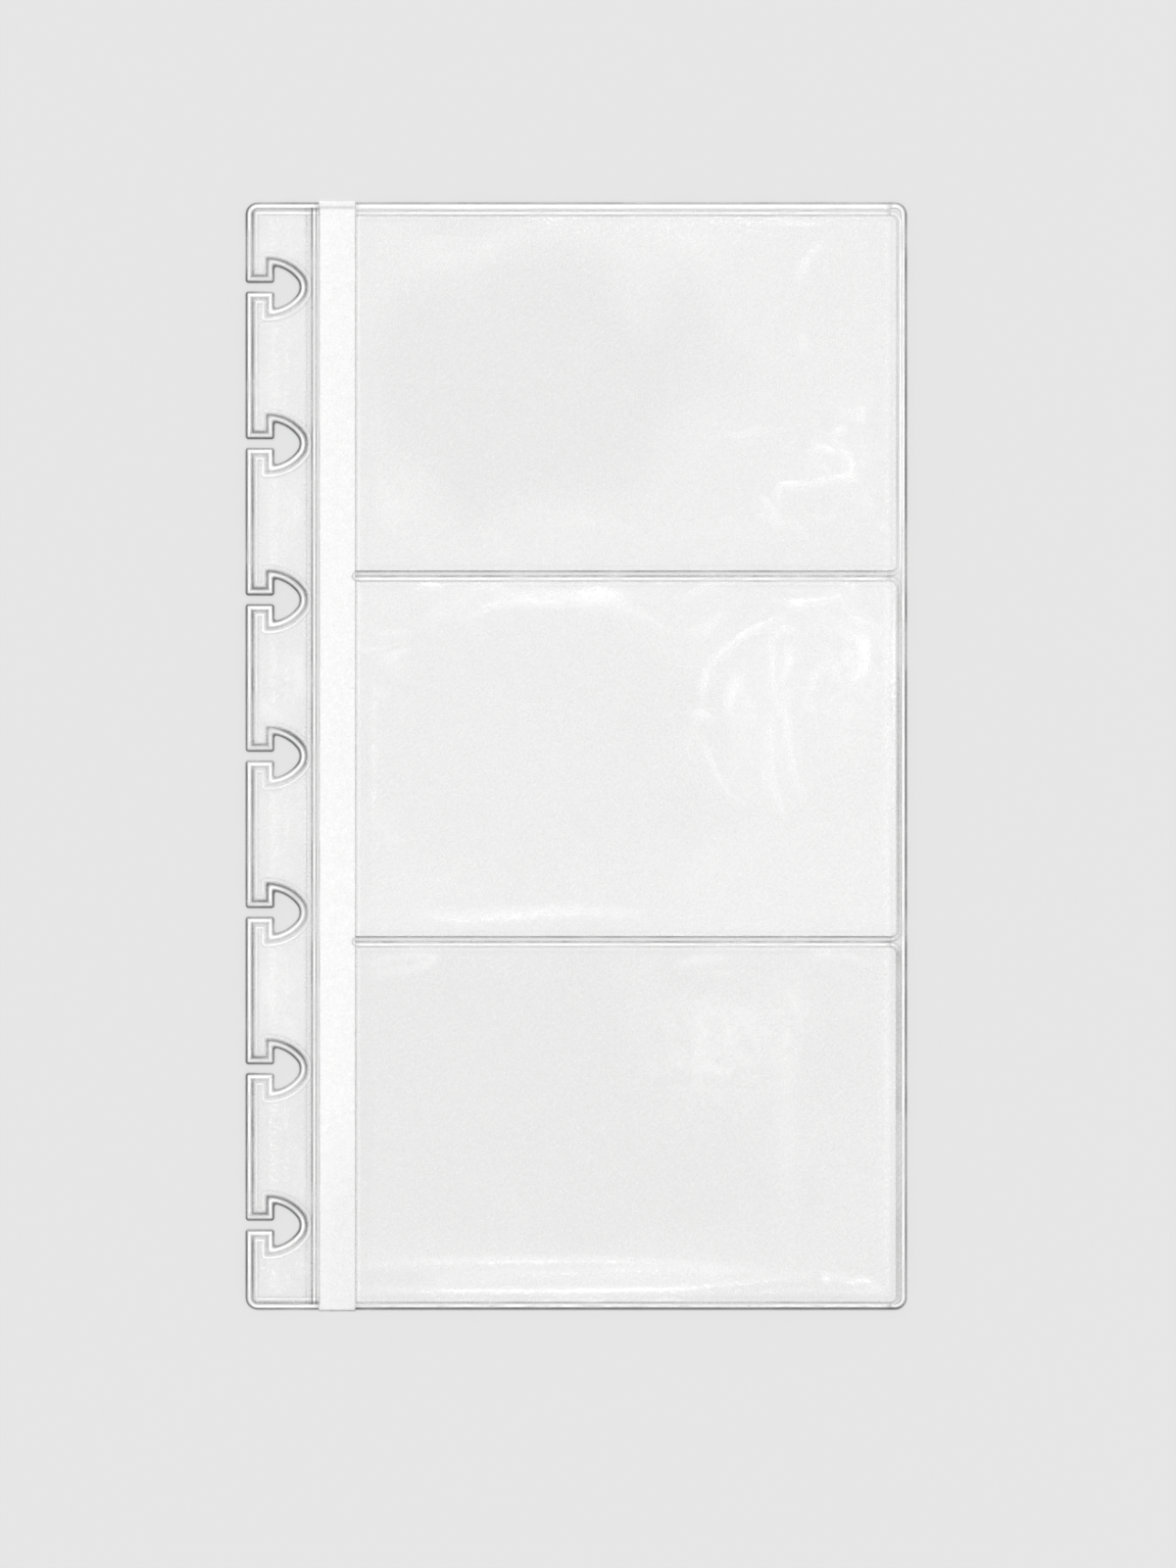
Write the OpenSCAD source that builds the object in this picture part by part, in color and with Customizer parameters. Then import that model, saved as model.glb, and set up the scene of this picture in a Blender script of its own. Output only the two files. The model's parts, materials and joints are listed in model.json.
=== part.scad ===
// Clear vinyl planner page: three card pockets, a notched binding strip that snaps over
// binding discs, and a band of single film between the two where the page folds.
// The page lies on its flat back. X runs from the binding edge to the outer edge,
// Y runs up the page and Z comes out of its front. The origin is under the page's middle.

/* [Page] */
// Width of the page, from the binding edge to the outer edge
page_w = 107.5; // [90:0.5:150]
// Height of the page
page_h = 180; // [170:0.5:260]
// Radius of the page's four corners
page_corner_r = 2; // [1.6:0.1:5]
// Thickness of each vinyl film
film_t = 0.2; // [0.1:0.02:0.4]

/* [Disc notches] */
// Distance from one notch's centre to the next
notch_pitch = 25.4; // [15:0.1:40]
// Least distance from the page's top and bottom edges to a notch's centre
notch_end_clear = 8; // [7:0.5:15]
// Width of the slit that leads from the binding edge to the hole
slit_w = 1.35; // [0.8:0.05:2]
// Radius on the lips at both ends of the slit
lip_r = 0.5; // [0.2:0.05:0.8]
// Distance from the binding edge to the hole's straight side
hole_inset = 4.7; // [3.6:0.1:7]
// Depth of the hole, from its straight side to its nose
hole_depth = 4.06; // [3.2:0.02:6]
// Height of the hole along its straight side
hole_h = 6.6; // [5.5:0.1:8]
// Radius of the hole's nose
nose_r = 2; // [1.4:0.1:2.5]
// Radius of the two curved flanks that run from the nose to the tips
flank_r = 6; // [5:0.1:20]
// Radius of the two tips at the ends of the straight side
tip_r = 0.4; // [0.2:0.05:0.6]
// How far the holes' noses reach past the tabs into the spine
nose_bite = 0.5; // [0.3:0.05:0.8]
// Width of the front film left between the weld round a notch's nose and the seam weld
neck_w = 0.19; // [0.1:0.01:4]

/* [Welds] */
// Width of the weld along the binding edge and round the notches
binding_weld_w = 1.15; // [0.9:0.05:1.4]
// Width of the seam weld that closes the binding strip
seam_weld_w = 1.5; // [1:0.1:3]
// Width of the weld along the pockets' top edge
top_weld_w = 2.2; // [1:0.1:4]
// Width of the weld along the pockets' outer edge
outer_weld_w = 1.7; // [1:0.1:4]
// Width of the weld along the pockets' bottom edge
bottom_weld_w = 1.2; // [1:0.1:4]
// Width of the welds between the pockets
divider_weld_w = 1.6; // [1:0.1:4]
// Width of the raised bead along each side of a weld
bead_w = 0.42; // [0.2:0.02:0.45]
// Height of the beads above the back film
bead_h = 0.45; // [0.4:0.05:0.8]
// Height of the flattened land between the beads above the back film
land_h = 0.15; // [0.1:0.05:0.35]

/* [Fold band] */
// Width of the single film between the seam weld and the pocket mouths
band_w = 5.95; // [4:0.05:12]
// How far the band stands past the page's top and bottom edges
band_overhang = 0.25; // [0:0.05:0.5]
// Distance from the seam weld to the fold line
fold_inset = 0.9; // [0.8:0.1:2]
// Gap between the two films that meet at the fold line
fold_gap = 0.7; // [0.6:0.05:1]

/* [Pockets] */
// Radius of the pockets' two corners at the outer edge
pocket_corner_r = 1; // [0.5:0.1:3]
// Space between the back film and a pocket's front film
pocket_gap = 0.2; // [0.1:0.05:0.3]
// Clearance between a film's edge and the weld beside it
fit_gap = 0.15; // [0.1:0.05:0.3]
// How far a divider weld's round end reaches past the pocket mouths
nub_reach = 0.6; // [0.2:0.1:0.8]

/* [Hidden] */

film_colour = [0.90, 0.92, 0.93, 0.45];
front_colour = [0.95, 0.96, 0.97, 0.45];
band_colour = [0.98, 0.98, 0.98, 0.85];
weld_colour = [0.72, 0.75, 0.77, 0.80];

// Largest turn between two points of an arc, in degrees
arc_step = 14;

// As many notches as the page has room for, centred on it
notch_count = floor((page_h - 2 * notch_end_clear) / notch_pitch) + 1;

// Stations across the page, measured from the binding edge
nose_x = hole_inset + hole_depth;
spine_x = nose_x - nose_bite;
seam_inset = nose_x + binding_weld_w + neck_w + 2 * fit_gap;
seam_end = seam_inset + seam_weld_w;
fold_x = seam_end + fold_inset;
mouth_x = seam_end + band_w;
pocket_end = page_w - outer_weld_w;
outer_weld_x = page_w - max(outer_weld_w + pocket_corner_r, page_corner_r);

// Three pockets of equal height, counted from the top
pocket_count = 3;
pockets_h = page_h - top_weld_w - bottom_weld_w;
pocket_h = (pockets_h - (pocket_count - 1) * divider_weld_w) / pocket_count;
pocket_step = pocket_h + divider_weld_w;

// The hole's nose and upper tip are round, and one flank arc touches both from outside
nose_c = [nose_x - nose_r, 0];
tip_c = [hole_inset + tip_r, hole_h / 2 - tip_r];
nose_to_tip = tip_c - nose_c;
tip_way = nose_to_tip / norm(nose_to_tip);
nose_reach = flank_r - nose_r;
tip_reach = flank_r - tip_r;
flank_along = (nose_reach ^ 2 - tip_reach ^ 2 + norm(nose_to_tip) ^ 2) / (2 * norm(nose_to_tip));
flank_aside = sqrt(nose_reach ^ 2 - flank_along ^ 2);
flank_c = nose_c + flank_along * tip_way + flank_aside * [-tip_way.y, tip_way.x];
nose_a = bearing(flank_c, nose_c);

function bearing(from, to) = atan2(to.y - from.y, to.x - from.x);

// Points along an arc about c, from angle a to angle b, or c itself where the radius is used up
function arc(c, r, a, b) = let (n = ceil(abs(b - a) / arc_step))
    r > 0 ? [for (i = [0 : n]) c + r * [cos(a + (b - a) * i / n), sin(a + (b - a) * i / n)]] : [c];

// The same points without the last one, for an arc that runs on into the next
function arc_into(c, r, a, b) = let (points = arc(c, r, a, b)) [for (i = [0 : len(points) - 2]) points[i]];

function notch_y(i) = ((notch_count - 1) / 2 - i) * notch_pitch;

function pocket_top(i) = page_h / 2 - top_weld_w - i * pocket_step;

// Centre of the upper tip of an outline that is drawn a distance g inside the film
function tip_at(g) = let (x = tip_c.x - g)
    [x, flank_c.y + sqrt((tip_reach + g) ^ 2 - (x - flank_c.x) ^ 2)];

// Upper half of a notch's outline, from the binding edge along the slit to the hole's nose.
// It is drawn a distance g inside the film, so the lips get sharper and the hole gets larger,
// but its tips stay as sharp as they are at the edge.
function half_notch(g) = let (
    r = max(lip_r - g, 0),
    lip_y = slit_w / 2 + g + r,
    tip = tip_at(g),
    tip_a = bearing(flank_c, tip)
) concat(
    arc([g + r, lip_y], r, 180, 270),
    arc([hole_inset - g - r, lip_y], r, 270, 360),
    arc_into(tip, tip_r, 180, tip_a),
    arc_into(flank_c, flank_r + g, tip_a, nose_a),
    arc(nose_c, nose_r + g, nose_a, 0)
);

function notch(y, g) = let (half = half_notch(g)) concat(
    [for (p = half) [p.x, y + p.y]],
    [for (i = [len(half) - 2 : -1 : 0]) [half[i].x, y - half[i].y]]
);

// Notched outline of the binding strip, a distance g inside the film, up to the station right
module binding_plan(g, right) {
    r = max(page_corner_r - g, 0);
    corner_y = page_h / 2 - g - r;
    polygon(concat(
        [[right, page_h / 2 - g]],
        arc([g + r, corner_y], r, 90, 180),
        [for (i = [0 : notch_count - 1]) each notch(notch_y(i), g)],
        arc([g + r, -corner_y], r, 180, 270),
        [[right, g - page_h / 2]]
    ));
}

// Rectangle with round corners on its outer side only
module tongue(left, right, bottom, top, corner_r) {
    r = max(corner_r, 0);
    polygon(concat(
        [[left, top], [left, bottom]],
        arc([right - r, bottom + r], r, 270, 360),
        arc([right - r, top - r], r, 0, 90)
    ));
}

// Outline of the pocket part of the page, a distance g inside its top, outer and bottom edges
module leaf_plan(g, left) {
    tongue(left, page_w - g, g - page_h / 2, page_h / 2 - g, page_corner_r - g);
}

// Inside of one pocket, counted from the top, a distance g away from its welds
module pocket_plan(i, g, left) {
    top = pocket_top(i);
    tongue(left, pocket_end - g, top - pocket_h + g, top - g, pocket_corner_r - g);
}

// A layer of film or weld with the given outline, from height z
module layer(z, t) {
    translate([-page_w / 2, 0, z]) linear_extrude(t) children();
}

// What lies inside one rectangle of the page
module zone(left, right, bottom, top) {
    intersection() {
        translate([left, bottom]) square([right - left, top - bottom]);
        children();
    }
}

// The part of the binding strip's outline between the distances a and b from its edge
module binding_ring(a, b) {
    difference() {
        binding_plan(a, seam_inset);
        binding_plan(b, page_w);
    }
}

// Everything outside the pockets: the edge welds and the divider welds in one outline
module pocket_weld_plan() {
    difference() {
        leaf_plan(0, mouth_x);
        for (i = [0 : pocket_count - 1]) pocket_plan(i, 0, 0);
    }
}

// The beads of those welds: one along the page's edge and one round each pocket
module pocket_bead_plan() {
    difference() {
        leaf_plan(0, mouth_x);
        leaf_plan(bead_w, 0);
    }
    for (i = [0 : pocket_count - 1]) {
        difference() {
            pocket_plan(i, -bead_w, mouth_x);
            pocket_plan(i, 0, 0);
        }
    }
}

// The pocket welds within one zone of the page
module pocket_weld(left, right, bottom, top) {
    color(weld_colour) {
        layer(film_t, land_h) zone(left, right, bottom, top) pocket_weld_plan();
        layer(film_t, bead_h) zone(left, right, bottom, top) pocket_bead_plan();
    }
}

// Weld between pocket i and the next one down, with a round end past the pocket mouths
module divider_weld(i) {
    top = pocket_top(i) - pocket_h;
    nub_x = mouth_x - nub_reach + divider_weld_w / 2;
    pocket_weld(mouth_x, outer_weld_x, top - divider_weld_w, top);
    color(weld_colour) layer(film_t, bead_h) difference() {
        translate([nub_x, top - divider_weld_w / 2]) circle(d = divider_weld_w, $fn = 48);
        translate([mouth_x, -page_h / 2]) square(page_h);
    }
}

module pocket_front(i) {
    color(front_colour) layer(film_t + pocket_gap, film_t) pocket_plan(i, fit_gap, mouth_x);
}

// Back film of the binding strip between two stations across the page
module binding_back_film(left, right) {
    color(film_colour) layer(0, film_t) zone(left, right, -page_h / 2, page_h / 2) binding_plan(0, fold_x);
}

module binding_tabs() {
    binding_back_film(0, spine_x);
}

module binding_spine() {
    binding_back_film(spine_x, fold_x - fold_gap / 2);
}

module binding_front_film() {
    color(front_colour) layer(film_t, film_t) binding_plan(binding_weld_w + fit_gap, seam_inset - fit_gap);
}

module binding_edge_weld() {
    color(weld_colour) {
        layer(film_t, land_h) binding_ring(0, binding_weld_w);
        layer(film_t, bead_h) {
            binding_ring(0, bead_w);
            binding_ring(binding_weld_w - bead_w, binding_weld_w);
        }
    }
}

module binding_seam_weld() {
    color(weld_colour) {
        layer(film_t, land_h) translate([seam_inset, -page_h / 2]) square([seam_weld_w, page_h]);
        layer(film_t, bead_h) for (x = [seam_inset, seam_end - bead_w]) {
            translate([x, -page_h / 2]) square([bead_w, page_h]);
        }
    }
}

module fold_band() {
    left = fold_x + fold_gap / 2;
    bottom = -page_h / 2 - band_overhang;
    color(band_colour) layer(0, film_t) translate([left, bottom]) square([mouth_x - left, -2 * bottom]);
}

module pocket_back_film() {
    color(film_colour) layer(0, film_t) leaf_plan(0, mouth_x);
}

module top_edge_weld() {
    pocket_weld(mouth_x, outer_weld_x, page_h / 2 - top_weld_w, page_h / 2);
}

module outer_edge_weld() {
    pocket_weld(outer_weld_x, page_w, -page_h / 2, page_h / 2);
}

module bottom_edge_weld() {
    pocket_weld(mouth_x, outer_weld_x, -page_h / 2, bottom_weld_w - page_h / 2);
}

module upper_divider_weld() {
    divider_weld(0);
}

module lower_divider_weld() {
    divider_weld(1);
}

module upper_pocket_front() {
    pocket_front(0);
}

module middle_pocket_front() {
    pocket_front(1);
}

module lower_pocket_front() {
    pocket_front(2);
}

binding_tabs();
binding_spine();
binding_front_film();
binding_edge_weld();
binding_seam_weld();
fold_band();
pocket_back_film();
top_edge_weld();
outer_edge_weld();
bottom_edge_weld();
upper_divider_weld();
lower_divider_weld();
upper_pocket_front();
middle_pocket_front();
lower_pocket_front();
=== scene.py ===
"""Looks of a clear vinyl planner page with three card pockets.

The films carry the soft relief and the creases that handling leaves in vinyl, and the welds are
rounded beads. Until a mesh is made, lengths are in millimetres: X is measured from the binding
edge, Y from the page's middle and Z from the page's back.
"""

import json
import math
from collections import namedtuple
from functools import partial

import bmesh
import bpy
import numpy as np
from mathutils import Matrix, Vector
from mathutils.geometry import delaunay_2d_cdt

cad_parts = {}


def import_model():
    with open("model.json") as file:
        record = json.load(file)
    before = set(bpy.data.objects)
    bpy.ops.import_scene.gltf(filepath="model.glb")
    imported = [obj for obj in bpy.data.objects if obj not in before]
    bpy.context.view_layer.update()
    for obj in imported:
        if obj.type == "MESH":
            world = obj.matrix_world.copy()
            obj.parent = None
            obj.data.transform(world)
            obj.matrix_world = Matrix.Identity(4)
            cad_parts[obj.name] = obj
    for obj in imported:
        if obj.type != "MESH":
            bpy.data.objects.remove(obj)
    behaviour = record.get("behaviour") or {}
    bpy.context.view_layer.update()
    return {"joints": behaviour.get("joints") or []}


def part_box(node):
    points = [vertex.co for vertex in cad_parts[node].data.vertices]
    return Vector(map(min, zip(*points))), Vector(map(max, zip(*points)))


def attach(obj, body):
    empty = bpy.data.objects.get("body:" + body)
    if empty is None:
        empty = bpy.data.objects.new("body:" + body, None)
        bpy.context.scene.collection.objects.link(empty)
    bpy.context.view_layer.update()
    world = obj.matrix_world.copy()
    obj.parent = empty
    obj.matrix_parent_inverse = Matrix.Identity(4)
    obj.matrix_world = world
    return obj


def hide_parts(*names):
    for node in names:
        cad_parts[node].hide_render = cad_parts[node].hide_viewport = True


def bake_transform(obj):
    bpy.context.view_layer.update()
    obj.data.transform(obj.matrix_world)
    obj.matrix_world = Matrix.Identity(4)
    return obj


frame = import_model()

MM = 0.001
# X of the binding edge in the frame, in metres
EDGE = round(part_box("binding_tabs")[0].x, 6)
Box = namedtuple("Box", "left right bottom top low high")


def box(node):
    """Sides of a CAD node's box, to a ten-thousandth of a millimetre."""
    low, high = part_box(node)
    sides = (low.x - EDGE, high.x - EDGE, low.y, high.y, low.z, high.z)
    return Box(*(round(side / MM, 4) for side in sides))


# Sizes and places that the frame gives
POCKETS = ("upper", "middle", "lower")
FRONTS = {name: box(f"{name}_pocket_front") for name in POCKETS}
TABS, STRIP, SEAM = box("binding_tabs"), box("binding_front_film"), box("binding_seam_weld")
BAND, BACK, DIVIDER = box("fold_band"), box("pocket_back_film"), box("upper_divider_weld")
TOP, FILM_T = TABS.top, TABS.high
MOUTH_X, PAGE_W = BACK.left, BACK.right
FOLD_X = round((frame["joints"][0]["pos_m"][0] - EDGE) / MM, 4)
OUTER_X = box("outer_edge_weld").left
FIT_GAP = box("top_edge_weld").bottom - FRONTS["upper"].top
POCKET_END = FRONTS["upper"].right + FIT_GAP
POCKET_R = POCKET_END - OUTER_X
TOP_WELD_W = TOP - box("top_edge_weld").bottom
BOTTOM_WELD_W = TOP + box("bottom_edge_weld").top
OUTER_WELD_W = PAGE_W - POCKET_END
DIVIDER_WELD_W = DIVIDER.top - DIVIDER.bottom
NUB_REACH = MOUTH_X - DIVIDER.left

# Sizes of the page's corners and of the notches, which the frame doesn't give
PAGE_R = 2.0
NOTCH_COUNT, NOTCH_PITCH = 7, 25.4
SLIT_W, LIP_R = 1.35, 0.5
HOLE_INSET, HOLE_DEPTH, HOLE_H = 4.7, 4.06, 6.6
NOSE_R, FLANK_R, TIP_R = 2.0, 6.0, 0.4

# How many straight pieces each arc has
LIP_STEPS, TIP_STEPS, FLANK_STEPS, NOSE_STEPS = 4, 6, 10, 7
BINDING_CORNER_STEPS, OUTER_CORNER_STEPS = 6, 8

# Heights of the strip's front film and of the welds' undersides
STRIP_Z, WELD_BASE = 0.23, 0.21

# Spacing of the points in the pocket fronts, the strip's front film, the back films and the fold
# band, and along and across the welds
FRONT_STEP, STRIP_STEP, BACK_STEP, BAND_STEP = 0.3, 0.6, 4, 2
RUN_STEP, SECTION_STEP = 1, 0.07

# Places of the points near an edge of a film, and how far from it the even spacing starts
EDGE_PLACES = np.array((0, 0.12, 0.26, 0.42, 0.62, 0.86, 1.15))
EVEN_FROM = 1.5

# Columns of the fold band: how many there are near the fold line and beyond, and where the near
# ones end and the others start, measured from that line
NEAR_COLUMNS, FAR_COLUMNS = 26, 8
NEAR_END, FAR_START = 3, 3.3

# How near two points count as one, in a mesh and where an outline is filled
SAME_POINT, SAME_CORNER = 0.0005, 0.00001

# What delaunay_2d_cdt calls the triangles inside an outline
INSIDE = 1

# Cover is how much of the light one face of film stops, and shade how bright it is where it does
FILM_COVER, FILM_SHADE = 0.022, 0.94
FRONT_COVERS = {"upper": 0.022, "middle": 0.075, "lower": 0.022, "binding": 0.04}
LEAST_COVER, MOST_COVER = 0.022, 0.98
WELD_COVER = 0.06
BAND_COVER, BAND_SHADE = 0.33, 0.97
# Cover and shade of the dark lines, which are painted shade, and of the bright ones, painted
# highlight
DARK_COVER, DARK_SHADE = 0.85, 0.06
BRIGHT_COVER, BRIGHT_SHADE = 0.92, 0.99

# Extra milk of the fold band beside the seam weld and how far it reaches, and where the band
# starts to get less white towards the bottom, over what length and by how much
SEAM_MILK, SEAM_MILK_REACH = 0.2, 1.5
FADE_FROM, FADE_OVER, FADE_BY = -55, 20, 0.28

# Cells of a smooth noise on each side of its table, and the cell at which it starts
NOISE_CELLS, NOISE_START = 64, 100

# Smooth noises: height, cell size and seed of each layer
RELIEF = ((0.12, 17, 3), (0.05, 7, 5))
CLEAR_BORDER = ((0.8, 9, 8),)
CLOUDS = ((1, 5, 9), (1, 2.3, 10))
CREASE_WEAR = ((0.5, 1.3, 14),)
SPOTS = ((1.2, 1.6, 11), (0.9, 0.8, 13))
# How unevenly strong the welds' painted shade and highlight lines are along their length
WELD_LINE_UNEVENNESS = ((0.8, 4, 31),)
BAND_CLOUDS = ((0.12, 30, 21),)

# Creases of each film: points along the crease, half-width and haze. The haze is partly the
# crease's own whitening and partly painted highlight
CREASES = {
    "upper": [
        (((27, 86.3), (35, 86.2), (43, 86.3)), 0.25, -0.1),
        (((27, 85.5), (35, 85.4), (43, 85.5)), 0.25, -0.1),
        (((26, 84.8), (35, 84.7), (41, 84.8)), 0.25, -0.1),
        (((23, 76), (30, 79.5), (36, 81), (43, 83.8)), 1.2, 0.04),
        (((27, 81.5), (33, 84), (38, 85)), 0.9, 0.04),
        (((86, 86.9), (89, 86.3), (93, 86.4), (95, 87.1)), 0.3, 0.11),
        (((66, 86), (71, 83.4), (77, 82)), 1.4, 0.04),
        (((89.8, 77.3), (91, 80), (93.6, 83.2)), 0.5, 0.16),
        (((90.2, 68.8), (91, 65.2)), 0.6, 0.14),
        (((82, 53.1), (84, 53), (85.5, 52.4)), 0.3, 0.2),
        (((78.3, 52), (81, 52.1), (83.6, 51.9)), 0.3, 0.14),
        (((86.6, 40.9), (86.5, 42.6), (87.2, 43.9), (89.5, 44), (92, 44.2)), 0.38, 0.29),
        (((91.5, 44.1), (94.5, 44.8), (97, 45.1), (98, 45.4), (99.4, 44.5)), 0.36, 0.25),
        (((98.1, 45.3), (98.3, 47.5), (97.5, 49), (97, 50.7)), 0.36, 0.25),
        (((91.8, 48.6), (92.1, 49.7), (94, 49.9), (96, 49.3), (97.4, 49.2)), 0.4, 0.25),
        (((93, 48.6), (94.7, 46.3)), 0.4, 0.14),
        (((97, 55), (97.2, 53.5), (96, 52.4), (95.3, 51.1)), 0.36, 0.22),
        (((97.3, 56), (98.8, 55.6), (99.8, 54.7), (100.1, 56.2), (99.6, 57.3)), 0.36, 0.18),
        (((100.2, 52.7), (100.4, 49.5), (99.7, 46.6)), 0.4, 0.1),
        (((83.4, 42.7), (84.8, 41), (86.6, 39.3)), 0.36, 0.25),
        (((82.4, 39.8), (84.6, 38.8), (87, 37.9), (89, 37.8), (90.3, 36.1)), 0.45, 0.17),
        (((89.8, 38.3), (91.6, 38.8), (93.5, 38.4), (96.5, 39.4)), 0.36, 0.13),
        (((100.5, 43.2), (101.7, 40.3)), 0.36, 0.12),
        (((103.1, 38.3), (103.4, 36.8)), 0.4, 0.16),
        (((78.3, 39.3), (78.9, 38.3)), 0.5, 0.14),
        (((49.4, 37.5), (55, 38.2), (60.5, 37)), 0.9, 0.07),
        (((65.3, 35.6), (79.7, 36.6), (92.4, 35.9)), 0.8, 0.04),
    ],
    "middle": [
        (((35.3, 21.9), (38.5, 23.8), (42, 24.8), (47, 25), (53, 24.6)), 0.4, 0.22),
        (((41, 25.8), (47, 25.9), (53, 25.7), (58, 25.7), (61.5, 24.9)), 0.8, 0.23),
        (((54, 25.8), (57, 25.9), (59.5, 25.7), (61.8, 24.8)), 0.9, 0.29),
        (((61, 24.3), (64, 23), (67, 21.5), (69.5, 20.2)), 0.35, 0.14),
        (((27.5, 20.7), (31, 22.6), (34.5, 25), (38, 27)), 0.8, 0.09),
        (((26.6, 27.6), (29.5, 27.7), (32.6, 27.6)), 0.4, 0.25),
        (((36.5, 27.2), (39.5, 27.4), (43, 27.2)), 0.45, 0.12),
        (((21.6, 19.9), (24, 20.1), (26.7, 20.3)), 0.3, 0.2),
        (((18.8, 17.4), (21, 17.3), (23.4, 17.6)), 0.3, 0.14),
        (((22, 15.1), (24, 16.2), (26.6, 17.3)), 0.42, 0.23),
        (((24, 14.3), (25.8, 15)), 0.4, 0.12),
        (((21.3, 10.6), (22.8, 9.9)), 0.4, 0.16),
        (((71, 25.3), (73.2, 26.9), (75.5, 27.6), (77.5, 27.4)), 0.42, 0.19),
        (((72, 20.1), (74.4, 20.4), (76, 21.7), (77.8, 23.8)), 0.5, 0.19),
        (((74.3, 8.6), (74.5, 12), (75.4, 14.8), (78, 17.2), (81.5, 20)), 0.38, 0.3),
        (((79.5, 18.6), (81.5, 20), (84.5, 21.4), (88, 23)), 0.36, 0.24),
        (((78.5, 7), (78.9, 10), (80.2, 13.2)), 0.6, 0.3),
        (((72.4, 6.2), (74, 7), (75.5, 6.2)), 0.55, 0.3),
        (((72.9, 4.4), (71.9, 1.8), (72.8, 0)), 0.45, 0.13),
        (((73, 4.4), (75, 0.8), (76.2, -2), (77.8, -5), (79.5, -6.8), (81.3, -7.6)), 0.38, 0.19),
        (((85.2, 17.7), (86, 19.6), (87.4, 20.5), (89.5, 20.6)), 0.4, 0.27),
        (((85.2, 19), (85.5, 15), (85.6, 12), (86.2, 9.5), (87, 6.4)), 0.38, 0.22),
        (((88.1, 18.1), (88.1, 15.4), (87.4, 12.8)), 0.5, 0.29),
        (((87.4, 13), (87.8, 8), (88.1, 4), (88.5, 0), (89.5, -3.5), (90.2, -5.6)), 0.4, 0.19),
        (((85.4, 7), (85.3, 0), (85.6, -4), (86.5, -7), (87.8, -10)), 0.42, 0.16),
        (((84.1, 3), (84.3, -3), (84.8, -7)), 0.4, 0.12),
        (((80, 12), (81, 5), (80.6, -3)), 1.6, 0.07),
        (((100, 20.5), (100.1, 17.5), (100.3, 15.8), (99.8, 14), (98.8, 12)), 0.62, 0.3),
        (((97.1, 24.8), (98, 22.8), (100, 21.8), (102.8, 21.1)), 0.36, 0.24),
        (((85.7, 25.2), (89, 24.8), (92, 25), (95, 25.4), (97.7, 26.1)), 0.34, 0.2),
        (((88.6, 24.5), (90.8, 24.4)), 0.45, 0.22),
        (((96.7, 28.1), (98.3, 27.6), (99.8, 27.4)), 0.4, 0.22),
        (((91.2, 9.6), (92.4, 12.4), (93.4, 14.5)), 0.4, 0.14),
        (((90.4, 7), (91.6, 9.2), (92.6, 6.2)), 0.4, 0.13),
        (((28, -25.4), (35, -26.2), (43, -25.7), (52.6, -25.1), (64, -25.6)), 0.6, 0.29),
        (((22.3, -9.3), (23.6, -12.8), (25.5, -16)), 0.9, 0.07),
        (((104, 12), (104.2, -4), (104, -22)), 0.9, 0.04),
    ],
    "lower": [
        (
            ((20.1, -34), (23.9, -32.7), (29.5, -32.4), (30.3, -33.4), (25.5, -35), (20.7, -35.3)),
            0.45, 0.19,
        ),
        (((69.6, -34), (72.5, -33.2), (75, -32.8), (78.5, -33)), 0.5, 0.19),
        (((74.5, -35), (80.5, -35)), 0.35, 0.09),
        (((92.4, -31.4), (93.5, -32), (95.3, -31.9)), 0.5, 0.26),
        (((95, -32), (98, -32.6), (101.4, -33.7)), 0.4, 0.14),
        (((88, -40), (88, -56), (88.1, -68), (88.6, -81)), 1.2, 0.08),
        (((104, -33), (104.2, -56), (104, -80)), 0.9, 0.06),
        (((60, -43), (71, -40.2), (81, -41.5), (84.5, -48), (83.5, -58)), 1.5, 0.04),
        (((17, -84.6), (37, -84.1), (57, -84), (72, -84.2), (84, -84.4), (93, -84.2)), 1.7, 0.09),
        (((18, -82.8), (27, -82.1), (37, -81.8), (57, -81.7), (70, -82.4), (84, -83.4)), 0.4, 0.17),
        (
            ((18, -86.6), (37, -86.6), (57, -86.5), (70, -86.2), (80, -85.4), (91, -84.2)),
            0.35, 0.17,
        ),
        (((72, -87.6), (84, -87.3), (97, -87.4)), 1.2, -0.15),
        (((40, -83.6), (52, -83.8), (64, -83.2), (80, -83.9)), 0.3, 0.09),
        (((19, -84.8), (24, -84.7), (30, -84.9)), 0.8, -0.16),
        (((94.3, -83.7), (94.6, -85.3)), 0.45, 0.23),
        (((94.6, -84.2), (97, -84.4), (98.5, -85.2), (101, -84.9), (103.3, -86.7)), 0.36, 0.19),
    ],
    "binding": [
        (((7.6, 42.9), (8.3, 40.1), (7.3, 37.2)), 0.5, 0.18),
        (((8.3, 16.8), (8.8, 13), (8.3, 9.5)), 0.5, 0.18),
        (((2.9, 9.8), (3.5, 6.6)), 0.6, 0.14),
        (((4.5, -34.8), (3.5, -38.8), (5.1, -40.4)), 0.7, 0.13),
        (((8, -62.7), (9.2, -66.7), (8.3, -71.5)), 0.6, 0.11),
        (((7, -42.8), (8, -46)), 0.5, 0.13),
    ],
}

# How high a crease stands for its haze, and how strong it is on the whole
CREASE_RISE, CREASE_STRENGTH = 0.2, 1.2

# Spacing of the places along a crease, how many half-widths from it are looked at, and the share
# of its length at each end where it fades no further
CREASE_STEP, CREASE_SPAN, CREASE_END = 0.25, 3, 0.03

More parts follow.
